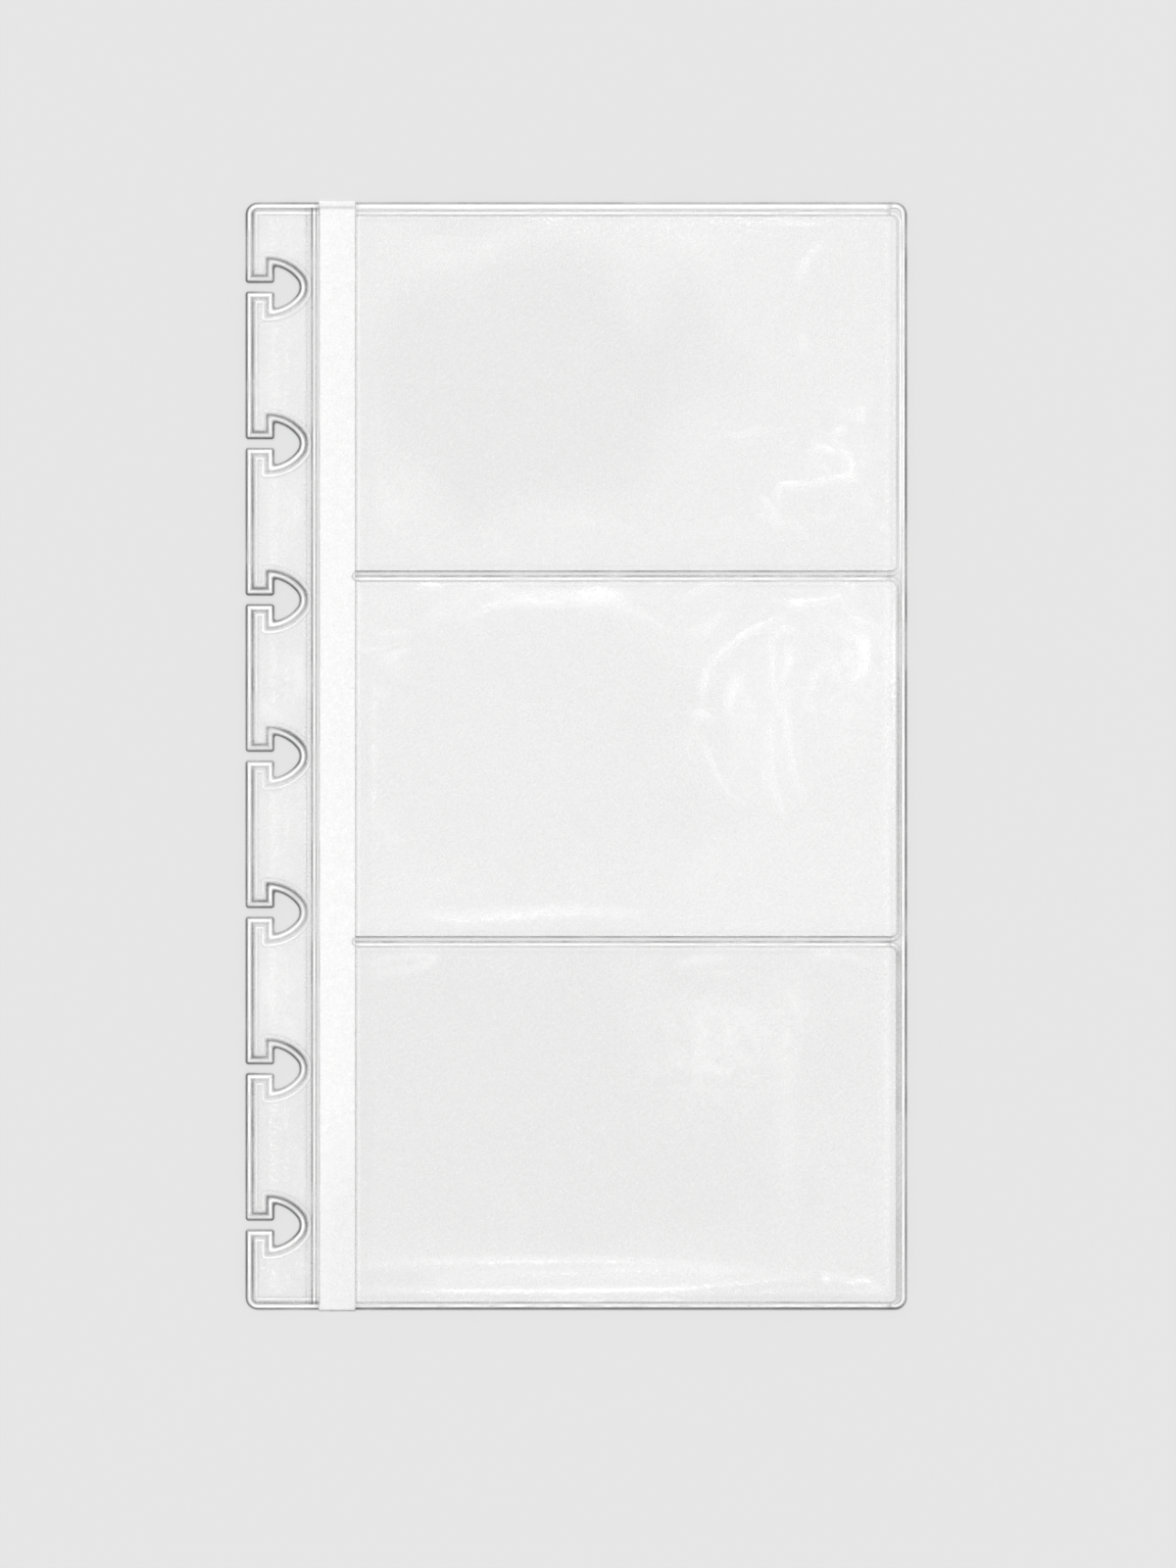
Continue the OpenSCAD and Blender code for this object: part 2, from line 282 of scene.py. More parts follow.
# Clear middle of each film: middle, half-widths and the haze outside it
CLEAR = {
    "upper": ((47.0, 61.0), (27.0, 18.0), 0.135),
    "middle": ((44.0, -1.0), (34.0, 24.0), 0.08),
    "lower": ((46.0, -58.0), (42.0, 26.0), 0.065),
    "binding": ((6.0, -72.0), (30.0, 22.0), 0.09),
}

# How fast the haze grows with each half-width from the clear middle, and how much is left off it
CLEAR_SLOPE, CLEAR_OFF = 1.5, 1.1

# How uneven each film's haze is
MOTTLE = {"upper": 0.012, "middle": 0.02, "lower": 0.015, "binding": 0.07}

# Patches where a pocket's two films cling to each other: middle, half-widths and haze, which is
# partly painted highlight. Spots make them uneven about a middle strength
CLINGS = {
    "upper": [((97, 50), (8, 14), 0.09), ((70, 84), (14, 4), 0.06), ((24, 41), (4, 5), 0.1)],
    "middle": [((97.5, 15), (6, 11), 0.26), ((83, 4), (7, 14), 0.1), ((22, 14), (4, 6), 0.07)],
    "lower": [
        ((77, -48), (6.5, 7.5), 0.17), ((88.5, -43), (3.2, 6), 0.2), ((74, -48), (11, 11), 0.1),
    ],
    "binding": [],
}
CLING_MIDDLE = 0.55

# A pocket front's crown, how far from its welds it rises, and how much flatter it is at the mouth
CROWN, CROWN_REACH = 0.22, 6
MOUTH_FLAT, MOUTH_FLAT_REACH = 0.75, 7

# How much weaker a pocket front's relief is at the mouth and how far from it, how far from the
# welds it grows, and how low it may dip
CALM, CALM_REACH = 0.6, 3
HELD_REACH, LOWEST = 1.2, -0.12

# Dark lines of painted shade and bright lines of painted highlight, along the welds and the film
# edges: distance from an edge, half-width and amount, which is below 0 for dark
BINDING_LINES = [
    (0.15, 0.19, -1.2), (0.63, 0.25, 1.15), (1.17, 0.22, -0.65), (1.8, 0.2, 0.65), (2.1, 0.1, -0.1),
]
SEAM_LINES = [
    (-0.55, 0.14, -0.15), (0, 0.2, 0.2), (0.4, 0.13, -0.65), (0.8, 0.17, 0.9), (1.12, 0.11, -0.45),
    (1.36, 0.13, 0.9), (1.63, 0.1, -0.25),
]
PAGE_LINES = [(0.1, 0.22, -1.1), (0.62, 0.22, 0.95)]
TOP_LINES = [(0.1, 0.2, -1.1), (0.72, 0.36, 1.0)]
BOTTOM_LINES = [(0.12, 0.32, -1.7), (0.64, 0.22, 1.3)]
POCKET_LINES = [(-0.8, 0.14, -0.55), (-0.4, 0.2, 0.65), (0.03, 0.14, -0.48)]
SIDE_LINES = {
    "upper": [(-0.65, 0.26, 0.85), (-0.1, 0.2, -0.22)],
    "middle": [(-0.8, 0.14, -0.45), (-0.6, 0.08, 0.3), (-0.3, 0.24, -0.42)],
    "lower": [(-0.75, 0.16, -0.35), (-0.3, 0.2, -0.35), (0.05, 0.14, -0.35)],
}
MOUTH_LINES = [(0, 0.22, -0.8), (0.55, 0.2, 0.35)]
RIM_LINES = [(0.25, 0.2, 0.1), (0.65, 0.18, -0.1)]
BAND_TOP_LINES = [(1.05, 0.18, -0.5)]
BAND_BOTTOM_LINES = [(0.05, 0.2, -0.8)]
NUB_LINES = [(0.95, 0.15, -0.4), (0.6, 0.2, 0.5)]

# Cross-sections of the welds: distance from the edge and height above the page's back
BINDING_HEIGHTS = [
    (0, 0.23), (0.05, 0.5), (0.15, 0.62), (0.26, 0.6), (0.42, 0.44), (0.64, 0.48), (0.86, 0.44),
    (1.0, 0.52), (1.15, 0.54), (1.4, 0.49), (1.55, 0.46), (1.8, 0.49), (2.05, 0.455), (2.2, 0.45),
]
SEAM_HEIGHTS = [
    (-0.9, 0.45), (-0.55, 0.44), (-0.1, 0.48), (0.2, 0.5), (0.35, 0.6), (0.5, 0.58), (0.62, 0.47),
    (0.8, 0.5), (0.98, 0.46), (1.08, 0.54), (1.2, 0.52), (1.36, 0.4), (1.5, 0.3), (1.7, 0.24),
]
PAGE_HEIGHTS = [
    (0, 0.23), (0.05, 0.5), (0.15, 0.64), (0.26, 0.6), (0.42, 0.44), (0.66, 0.48), (0.95, 0.43),
]
POCKET_HEIGHTS = [
    (-0.8, 0.43), (-0.6, 0.47), (-0.4, 0.49), (-0.2, 0.45), (-0.08, 0.56), (0.03, 0.6), (0.14, 0.5),
]

# How far a weld's pocket side reaches into the weld and over the pocket, and how far the seam
# weld ends from the page's top and bottom
POCKET_REACH, POCKET_LIP = 0.8, 0.14
SEAM_CLEAR = 0.9

# Ways in which the welds face where painted light makes them brighter: most of them, those on the
# pockets' outer sides and those on the page's bottom edge
LIT, LIT_SIDE, LIT_BOTTOM = (0.1, 0.45), (0.1, 0.3), (0.1, -0.15)

# Tone of a weld between its lines, and how much painted light the way it faces adds to that
WELD_TONE, WELD_LIFT = 0.04, 0.15

# How far inside its edge a weld is looked at for the way it faces, and the least length for that
FACING_STEP, LEAST_LENGTH = 0.3, 0.000001

# A divider's round end: height of its dome, how near it is to a half ball, and its rows and columns
NUB_RISE, NUB_ROUND, NUB_ROWS, NUB_COLUMNS = 0.42, 0.98, 9, 13

# Speckles of the films: scale, detail, and lowest and highest value. Each material has a grain of
# its own strength
GRAIN = (2300, 3)
TINT = (700, 3, 0.95, 1.0)
GLOSS = (120, 4, 0.06, 0.16)
BUMPS = (1500, 3, 0, 1)

# Range in which most values of a noise texture lie, and the bumps' height in metres
NOISE_LOW, NOISE_HIGH = 0.3, 0.7
BUMP_HEIGHT = 0.00005

# Shade of the floor, half its width in metres, and how far it lies under the page
FLOOR, FLOOR_SIZE, FLOOR_DROP = 0.791, 30, 0.02

# Light from all round, and lamps: tilt from overhead, spread from middle to rim, and radiance
WORLD_LIGHT = 0.4
OVERHEAD, WINDOW = (0, 35, 0.6), (22, 9.5, 4)
WINDOW_BEARINGS = {"right": 0, "top": 90, "left": 180, "bottom": -90}

# How many clear faces a ray of light may pass
CLEAR_FACES = 32

# The camera's lens and sensor, its place over the frame's origin, and the height of its view
LENS, SENSOR = 120, 36
EYE_X, EYE_Y, VIEW_H = 1.91, -4.54, 254.9


def arc(centre, radius, start, end, steps):
    """Points of an arc, from one angle to another in degrees."""
    a = np.radians(np.linspace(start, end, steps + 1))
    return np.array(centre) + radius * np.column_stack((np.cos(a), np.sin(a)))


def bearing(start, end):
    """Way from one point to another, in degrees."""
    return math.degrees(math.atan2(end[1] - start[1], end[0] - start[0]))


def flank_arc():
    """Middles of a hole's nose and of its upper flank arc, and the angle at which they meet."""
    nose = np.array((HOLE_INSET + HOLE_DEPTH - NOSE_R, 0))
    tip = np.array((HOLE_INSET + TIP_R, HOLE_H / 2 - TIP_R))
    apart = np.linalg.norm(tip - nose)
    way = (tip - nose) / apart
    nose_reach, tip_reach = FLANK_R - NOSE_R, FLANK_R - TIP_R
    along = (nose_reach**2 - tip_reach**2 + apart**2) / (2 * apart)
    aside = math.sqrt(nose_reach**2 - along**2)
    middle = nose + along * way + aside * np.array((-way[1], way[0]))
    return nose, middle, bearing(middle, nose)


NOSE_C, FLANK_C, NOSE_A = flank_arc()


def half_notch(g):
    """Upper half of a notch's outline, a distance g inside the film. Its tips keep their radius."""
    r = max(LIP_R - g, 0)
    lip_y = SLIT_W / 2 + g + r
    tip_x = HOLE_INSET + TIP_R - g
    reach = FLANK_R + g - TIP_R
    tip = np.array((tip_x, FLANK_C[1] + math.sqrt(reach**2 - (tip_x - FLANK_C[0]) ** 2)))
    tip_a = bearing(FLANK_C, tip)
    return np.vstack((
        arc((g + r, lip_y), r, 180, 270, LIP_STEPS),
        arc((HOLE_INSET - g - r, lip_y), r, 270, 360, LIP_STEPS),
        arc(tip, TIP_R, 180, tip_a, TIP_STEPS)[:-1],
        arc(FLANK_C, FLANK_R + g, tip_a, NOSE_A, FLANK_STEPS)[:-1],
        arc(NOSE_C, NOSE_R + g, NOSE_A, 0, NOSE_STEPS),
    ))


def binding_edge(g, right):
    """Notched outline of the binding strip, a distance g inside the film and as far as right."""
    r = max(PAGE_R - g, 0)
    half = half_notch(g)
    notch = np.vstack((half, half[-2::-1] * (1, -1)))
    corner = arc((g + r, TOP - g - r), r, 90, 180, BINDING_CORNER_STEPS)
    places = [((NOTCH_COUNT - 1) / 2 - i) * NOTCH_PITCH for i in range(NOTCH_COUNT)]
    points = np.vstack((
        [(right, TOP - g)],
        corner,
        *[notch + (0, y) for y in places],
        corner[::-1] * (1, -1),
        [(right, g - TOP)],
    ))
    points[:, 0] = np.minimum(points[:, 0], right)
    return points


def outer_side(g, right, bottom, top, corner_r):
    """Outer end of a tongue, from its top edge round both corners, a distance g inside it."""
    r = max(corner_r - g, 0)
    x = right - g - r
    return np.vstack((
        [(OUTER_X, top - g)],
        arc((x, top - g - r), r, 90, 0, OUTER_CORNER_STEPS),
        arc((x, bottom + g + r), r, 0, -90, OUTER_CORNER_STEPS),
        [(OUTER_X, bottom + g)],
    ))


def page_side(g):
    """The page's outer end, a distance g inside it."""
    return outer_side(g, PAGE_W, -TOP, TOP, PAGE_R)


def seam_line(g):
    """Line along the seam weld, a distance g from its left edge."""
    x = SEAM.left + g
    return np.array([(x, SEAM_CLEAR - TOP), (x, TOP - SEAM_CLEAR)])


def straight(y, side):
    """Outlines of a weld from the pocket mouths to the outer edge. Side is its way inwards."""
    return lambda g: np.array([(MOUTH_X, y + side * g), (OUTER_X, y + side * g)])


def pocket_span(name):
    """Bottom and top of a pocket."""
    return FRONTS[name].bottom - FIT_GAP, FRONTS[name].top + FIT_GAP


def noise(x, y, cell, seed):
    """Smooth noise from 0 to 1 with that cell size."""
    table = np.random.default_rng(seed).random((NOISE_CELLS, NOISE_CELLS))
    u, v = x / cell + NOISE_START, y / cell + NOISE_START
    i, j = np.floor(u).astype(int), np.floor(v).astype(int)
    s, t = u - i, v - j
    s, t = s * s * (3 - 2 * s), t * t * (3 - 2 * t)

    def at(a, b):
        return table[a % NOISE_CELLS, b % NOISE_CELLS]

    low = at(i, j) * (1 - s) + at(i + 1, j) * s
    high = at(i, j + 1) * (1 - s) + at(i + 1, j + 1) * s
    return low * (1 - t) + high * t


def uneven(x, y, layers):
    """Sum of layers of smooth noise about 0."""
    return sum(height * (noise(x, y, cell, seed) - 0.5) for height, cell, seed in layers)


def lines(distance, table):
    """How dark or bright the lines of a table are at each distance."""
    return sum(amount * np.exp(-(((distance - at) / width) ** 2)) for at, width, amount in table)


def section(heights, table, start, stop):
    """Cross-section of a weld: distances from its edge, heights, and how dark or bright it is."""
    g = np.linspace(start, stop, round((stop - start) / SECTION_STEP) + 1)
    return g, np.interp(g, *zip(*heights)), lines(g, table)


def whole_section(heights, table):
    """Cross-section of a weld as far as its heights go."""
    return section(heights, table, heights[0][0], heights[-1][0])


def page_section(weld_w, table=PAGE_LINES):
    """The side of a weld that runs along the page's edge."""
    return section(PAGE_HEIGHTS, table, 0, weld_w - pocket_reach(weld_w))


def pocket_section(weld_w, table=POCKET_LINES):
    """The side of a weld that runs along a pocket."""
    return section(POCKET_HEIGHTS, table, -pocket_reach(weld_w), POCKET_LIP)


def pocket_reach(weld_w):
    """How far the pocket's side of a weld reaches into the weld."""
    return min(POCKET_REACH, weld_w / 2)


def parted(points, counts):
    """The points of a line, with each of its spans cut into that many."""
    runs = [a + (b - a) * np.arange(n)[:, None] / n for a, b, n in zip(points, points[1:], counts)]
    return np.vstack((*runs, points[-1:]))


def ribbon(outline_at, weld, lit=LIT, turned=None):
    """Grid and tones of a weld: its cross-section swept along its outline.

    It is painted brighter where it faces the lit way: stronger painted highlights, weaker painted
    shade. Turned holds the cross-sections whose tones it takes on where it turns into the welds
    above and below.
    """
    g, z, tone = weld
    spans = np.linalg.norm(np.diff(outline_at(g[0]), axis=0), axis=1)
    counts = np.maximum(np.ceil(spans / RUN_STEP).astype(int), 1)
    rows = np.array([parted(outline_at(x), counts) for x in g])
    out = rows[0] - parted(outline_at(g[0] + FACING_STEP), counts)
    out /= np.maximum(np.linalg.norm(out, axis=1), LEAST_LENGTH)[:, None]
    at_bottom = rows[0, :, 1:] < PAGE_R - TOP
    lift = (out * np.where(at_bottom, LIT_BOTTOM, lit)).sum(1)
    # How strong the painted shade and highlight lines are along the weld
    patchy = 1 + uneven(rows[..., 0], rows[..., 1], WELD_LINE_UNEVENNESS)
    tone = tone[:, None]
    if turned:
        above, below = (end_tone[:, None] for _, _, end_tone in turned)
        end = np.where(out[:, 1] > 0, above, below)
        tone = end + (tone - end) * out[:, 0] ** 2
    tones = tone * (1 + np.sign(tone) * lift) * patchy + WELD_TONE + WELD_LIFT * lift
    return np.dstack((rows, np.broadcast_to(z[:, None], rows.shape[:2]))), tones


def nub(y):
    """Grid and tones of a divider weld's round end, past the pocket mouths: a low dome."""
    r = DIVIDER_WELD_W / 2
    a = np.linspace(math.pi, math.acos(NUB_REACH / r - 1), NUB_ROWS)[:, None]
    across = r * np.sin(a) * np.linspace(-1, 1, NUB_COLUMNS)
    x = np.broadcast_to(r * np.cos(a), across.shape)
    out = np.hypot(x, across) / r
    z = FILM_T + NUB_RISE * np.sqrt(1 - NUB_ROUND * out**2)
    return np.dstack((x + MOUTH_X - NUB_REACH + r, across + y, z)), lines(out, NUB_LINES)


def grid_faces(rows, columns):
    """Faces of a grid of points that are listed row by row."""
    at = np.arange(rows * columns).reshape(rows, columns)
    return np.stack((at[:-1, :-1], at[:-1, 1:], at[1:, 1:], at[1:, :-1]), -1).reshape(-1, 4)


def slab(top, bottom, cover, shade, under, open_rim=None):
    """Part between two grids of points, with all rims but the open one.

    Cover and shade are those of the top, and under is the bottom's cover.
    """
    rows, columns = top.shape[:2]
    count = rows * columns
    at = np.arange(count).reshape(rows, columns)
    rims = {"first": at[0], "right": at[:, -1], "last": at[-1, ::-1], "left": at[::-1, 0]}
    kept = [rim for key, rim in rims.items() if key != open_rim]
    sides = [np.stack((r[1:], r[:-1], r[:-1] + count, r[1:] + count), -1) for r in kept]
    faces = grid_faces(rows, columns)
    faces = np.vstack((faces, faces[:, ::-1] + count, *sides))
    one, other = top[1:, 1:] - top[:-1, :-1], top[1:, :-1] - top[:-1, 1:]
    if np.sum(one[..., 0] * other[..., 1] - one[..., 1] * other[..., 0]) < 0:
        faces = faces[:, ::-1]
    points = np.vstack((top.reshape(-1, 3), bottom.reshape(-1, 3)))
    covers = np.concatenate((cover.ravel(), np.full(count, under)))
    return points, faces, covers, np.concatenate((shade.ravel(), np.full(count, FILM_SHADE)))


def paint(cover, tone, own_shade=FILM_SHADE):
    """Cover and shade of film of that cover and shade, under lines of painted shade or highlight.
    """
    dark, bright = np.clip(-tone, 0, 1) * DARK_COVER, np.clip(tone, 0, 1) * BRIGHT_COVER
    total = cover + dark + bright
    shade = (cover * own_shade + dark * DARK_SHADE + bright * BRIGHT_SHADE) / total
    return np.clip(total, 0, MOST_COVER), shade


def make(name, parts, material, body=None):
    """One smooth piece out of (points, faces, cover, shade) parts, which rides on body if given."""
    points, faces, covers, shades, count = [], [], [], [], 0
    for p, f, cover, shade in parts:
        points.append(np.asarray(p, float) * MM + (EDGE, 0, 0))
        faces += [[int(i) + count for i in face] for face in f]
        covers.append(np.broadcast_to(cover, len(p)))
        shades.append(np.broadcast_to(shade, len(p)))
        count += len(p)
    mesh = bpy.data.meshes.new(name)
    mesh.from_pydata(np.vstack(points).tolist(), [], faces)
    for key, values in (("cover", covers), ("shade", shades)):
        layer = mesh.attributes.new(key, "FLOAT", "POINT")
        layer.data.foreach_set("value", np.concatenate(values).astype(np.float32))
    tidy(mesh)
    mesh.materials.append(material)
    piece = bpy.data.objects.new(name, mesh)
    bpy.context.scene.collection.objects.link(piece)
    if body:
        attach(piece, body)
    return piece


def tidy(mesh):
    """Closes up the points that an outline's used-up corners leave in one place."""
    bm = bmesh.new()
    bm.from_mesh(mesh)
    bmesh.ops.remove_doubles(bm, verts=bm.verts, dist=SAME_POINT * MM)
    bmesh.ops.dissolve_degenerate(bm, edges=bm.edges, dist=SAME_POINT * MM)
    for face in bm.faces:
        face.smooth = True
    bm.to_mesh(mesh)
    bm.free()


def weld_piece(name, node, runs, body, material):
    """A weld out of runs: grid, tones, and the rim that is open if another run joins it there."""
    parts = []
    for top, tone, *open_rim in runs:
        bottom = top * (1, 1, 0) + (0, 0, WELD_BASE)
        parts.append(slab(top, bottom, *paint(WELD_COVER, tone), LEAST_COVER, *open_rim))
    piece = make(name, parts, material, body)
    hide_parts(node)


def rounded(points):
    """Places along a smooth line through the points."""
    p = np.array(points, float)
    p = np.vstack((2 * p[0] - p[1], p, 2 * p[-1] - p[-2]))
    runs = []
    for a, b, c, d in zip(p, p[1:], p[2:], p[3:]):
        t = np.linspace(0, 1, math.ceil(math.dist(b, c) / CREASE_STEP), endpoint=False)[:, None]
        bends = (2 * a - 5 * b + 4 * c - d) * t**2 + (3 * b - a - 3 * c + d) * t**3
        runs.append(b + ((c - a) * t + bends) / 2)
    return np.vstack((*runs, p[-2:-1]))


def crease(x, y, points, width):
    """How near each place is to a crease, from 0 to 1. The crease fades towards its ends."""
    line = rounded(points)
    low, high = line.min(0) - CREASE_SPAN * width, line.max(0) + CREASE_SPAN * width
    beside = (x > low[0]) & (x < high[0]) & (y > low[1]) & (y < high[1])
    apart = np.hypot(x[beside][:, None] - line[:, 0], y[beside][:, None] - line[:, 1])
    along = np.clip(apart.argmin(1) / (len(line) - 1), CREASE_END, 1 - CREASE_END)
    near = np.zeros(x.shape)
    near[beside] = np.sqrt(np.sin(np.pi * along)) * np.exp(-((apart.min(1) / width) ** 2) / 2)
    return near


def handled(x, y, film):
    """Relief and haze that handling leaves in a film, the haze partly painted highlight."""
    relief = uneven(x, y, RELIEF)
    (cx, cy), (rx, ry), milk = CLEAR[film]
    away = np.hypot((x - cx) / rx, (y - cy) / ry)
    out = np.clip(CLEAR_SLOPE * away - CLEAR_OFF + uneven(x, y, CLEAR_BORDER), 0, 1)
    haze_and_highlight = milk * out * out * (3 - 2 * out) + MOTTLE[film] * uneven(x, y, CLOUDS)
    patchy = CREASE_STRENGTH + uneven(x, y, CREASE_WEAR)
    # Along a crease the haze is partly whitening and partly painted highlight
    for points, width, whitening_and_highlight in CREASES[film]:
        near = crease(x, y, points, width) * patchy
        relief = relief + CREASE_RISE * max(whitening_and_highlight, 0) * near
        haze_and_highlight = haze_and_highlight + whitening_and_highlight * near
    spots = np.clip(CLING_MIDDLE + uneven(x, y, SPOTS), 0, 1)
    for (cx, cy), (rx, ry), amount in CLINGS[film]:
        haze_and_highlight = haze_and_highlight + amount * spots * np.exp(-(((x - cx) / rx) ** 2) - ((y - cy) / ry) ** 2)
    return relief, haze_and_highlight


def graded(low, high, step):
    """Places from low to high, close together near both ends."""
    count = 2 * round((high - low - 2 * EVEN_FROM) / step / 2) + 1
    even = np.linspace(low + EVEN_FROM, high - EVEN_FROM, count)
    return np.concatenate((low + EDGE_PLACES, even, high - EDGE_PLACES[::-1]))


def pocket_grid(front):
    """X and Y of a pocket front with round outer corners, and the distance from its welds."""
    ys = graded(front.bottom, front.top, FRONT_STEP)
    xs = graded(front.left, front.right, FRONT_STEP)
    y = np.repeat(ys[:, None], len(xs), 1)
    inside = np.minimum(y - ys[0], ys[-1] - y)
    r = POCKET_R - FIT_GAP
    past = np.clip(r - inside, 0, r)
    ends = xs[-1] - r + np.sqrt(r**2 - past**2)
    x = MOUTH_X + (xs[None, :] - MOUTH_X) * (ends - MOUTH_X) / (xs[-1] - MOUTH_X)
    return x, y, np.minimum(inside, ends - x)


def pocket_front(name, material):
    """Front film of a pocket, in two halves that meet along its middle row."""
    front = FRONTS[name]
    x, y, inside = pocket_grid(front)
    from_mouth = x - MOUTH_X
    relief, haze_and_highlight = handled(x, y, name)
    crown = CROWN * (1 - np.exp(-inside / CROWN_REACH))
    crown = crown * (1 - MOUTH_FLAT * np.exp(-from_mouth / MOUTH_FLAT_REACH))
    free = (1 - np.exp(-inside / HELD_REACH)) * (1 - CALM * np.exp(-from_mouth / CALM_REACH))
    z = front.low + np.maximum(crown + relief * free, LOWEST)
    lower = np.dstack((x, y, z))
    own = FRONT_COVERS[name]
    # Painted shade and painted highlight lines along the mouth and near the welds
    tone = lines(from_mouth, MOUTH_LINES) + lines(inside, RIM_LINES)
    cover, shade = paint(np.maximum(own + haze_and_highlight, LEAST_COVER), tone)
    half = len(y) // 2
    halves = (
        ("low", slice(0, half + 1), front.bottom, "last"),
        ("high", slice(half, None), front.top, "first"),
    )
    for word, rows, weld_y, open_rim in halves:
        low = lower[rows]
        part = slab(low + (0, 0, FILM_T), low, cover[rows], shade[rows], own, open_rim)
        piece = make(f"{name}_front_{word}", [part], material)
        piece.visible_shadow = False
        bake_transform(piece)
        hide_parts(f"{name}_pocket_front")


def filled(outline, spacing):
    """Points and triangles that fill an outline, at about that spacing."""
    sides = zip(outline.min(0), outline.max(0))
    places = [np.linspace(a, b, max(3, round((b - a) / spacing)))[1:-1] for a, b in sides]
    grid = np.stack(np.meshgrid(*places), -1).reshape(-1, 2)
    points = [Vector(p) for p in np.vstack((outline, grid))]
    corners = len(outline)
    edges = [(k, (k + 1) % corners) for k in range(corners)]
    flat, _, faces, *_ = delaunay_2d_cdt(points, edges, [], INSIDE, SAME_CORNER)
    return np.array([tuple(p) for p in flat]), [tuple(face) for face in faces]


def flat_film(name, outline, z, spacing, film, material, body, nodes):
    """A film with any outline, handled like the film of that name, or plain."""
    flat, faces = filled(outline, spacing)
    count = len(flat)
    plain = np.zeros(count)
    relief, haze_and_highlight = handled(*flat.T, film) if film else (plain, plain)
    upper = np.column_stack((flat, z + FILM_T + np.maximum(relief, 0)))
    lower = np.column_stack((flat, z + plain))
    used = {(a, b) for face in faces for a, b in zip(face, (*face[1:], face[0]))}
    rim = [(b, a, a + count, b + count) for a, b in sorted(used) if (b, a) not in used]
    under = [tuple(k + count for k in face[::-1]) for face in faces]
    own = FRONT_COVERS.get(film, FILM_COVER)
    cover = np.concatenate((np.maximum(own + haze_and_highlight, LEAST_COVER), np.full(count, own)))
    part = (np.vstack((upper, lower)), faces + under + rim, cover, FILM_SHADE)
    piece = make(name, [part], material, body)
    piece.visible_shadow = False
    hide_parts(*nodes)


def fold_film(material):
    """The milky band between strip and pockets, with its columns close together near the fold line.
    """
    ys = graded(BAND.bottom, BAND.top, BAND_STEP)
    near = np.linspace(SEAM.right, FOLD_X + NEAR_END, NEAR_COLUMNS)
    far = np.linspace(FOLD_X + FAR_START, MOUTH_X, FAR_COLUMNS)
    x, y = np.meshgrid(np.concatenate((near, far)), ys)
    # Painted shade lines along the band's top and bottom
    tone = lines(ys[-1] - y, BAND_TOP_LINES) + lines(y - ys[0], BAND_BOTTOM_LINES)
    milk = BAND_COVER + SEAM_MILK * np.exp((SEAM.right - x) / SEAM_MILK_REACH)
    milk = milk + uneven(x, y, BAND_CLOUDS)
    milk = milk - FADE_BY * np.clip((FADE_FROM - y) / FADE_OVER, 0, 1)
    low = np.dstack((x, y, np.zeros_like(x)))
    part = slab(low + (0, 0, FILM_T), low, *paint(milk, tone, BAND_SHADE), BAND_COVER)
    piece = make("fold_film", [part], material)
    piece.visible_shadow = False
    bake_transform(piece)
    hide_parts("fold_band")


def vinyl(name, ior, grain, bump):
    """Glossy film whose cover and shade come from the mesh, with a fine grain."""
    material = bpy.data.materials.new(name)
    material.use_nodes = True
    nodes, links = material.node_tree.nodes, material.node_tree.links
    shader = nodes["Principled BSDF"]
    shader.inputs["IOR"].default_value = ior
    coordinates = nodes.new("ShaderNodeTexCoord")

    def speckle(scale, detail, low, high):
        texture = nodes.new("ShaderNodeTexNoise")
        texture.inputs["Scale"].default_value = scale
        texture.inputs["Detail"].default_value = detail
        links.new(coordinates.outputs["Object"], texture.inputs["Vector"])
        spread = nodes.new("ShaderNodeMapRange")
        spread.inputs["From Min"].default_value = NOISE_LOW
        spread.inputs["From Max"].default_value = NOISE_HIGH
        spread.inputs["To Min"].default_value = low
        spread.inputs["To Max"].default_value = high
        links.new(texture.outputs["Fac"], spread.inputs["Value"])
        return spread.outputs["Result"]

    def combine(key, operation, factor, socket):
        value = nodes.new("ShaderNodeAttribute")
        value.attribute_name = key
        result = nodes.new("ShaderNodeMath")
        result.operation = operation
        result.use_clamp = True
        links.new(value.outputs["Fac"], result.inputs[0])
        links.new(factor, result.inputs[1])
        links.new(result.outputs["Value"], socket)

    combine("cover", "ADD", speckle(*GRAIN, -grain, grain), shader.inputs["Alpha"])
    combine("shade", "MULTIPLY", speckle(*TINT), shader.inputs["Base Color"])
    links.new(speckle(*GLOSS), shader.inputs["Roughness"])
    bumps = nodes.new("ShaderNodeBump")
    bumps.inputs["Strength"].default_value = bump
    bumps.inputs["Distance"].default_value = BUMP_HEIGHT
    links.new(speckle(*BUMPS), bumps.inputs["Height"])
    links.new(bumps.outputs["Normal"], shader.inputs["Normal"])
    return material


def floor():
    """A wide, matt, pale floor just under the page."""
    mesh = bpy.data.meshes.new("floor")
    corners = [(-1, -1, 0), (1, -1, 0), (1, 1, 0), (-1, 1, 0)]
    mesh.from_pydata([Vector(c) * FLOOR_SIZE for c in corners], [], [(0, 1, 2, 3)])
    material = bpy.data.materials.new("floor")
    material.use_nodes = True
    shader = material.node_tree.nodes["Principled BSDF"]
    shader.inputs["Base Color"].default_value = (FLOOR, FLOOR, FLOOR, 1)
    shader.inputs["Roughness"].default_value = 1
    shader.inputs["Specular IOR Level"].default_value = 0
    mesh.materials.append(material)
    plane = bpy.data.objects.new("floor", mesh)
    plane.location.z = -FLOOR_DROP * MM
    bpy.context.scene.collection.objects.link(plane)


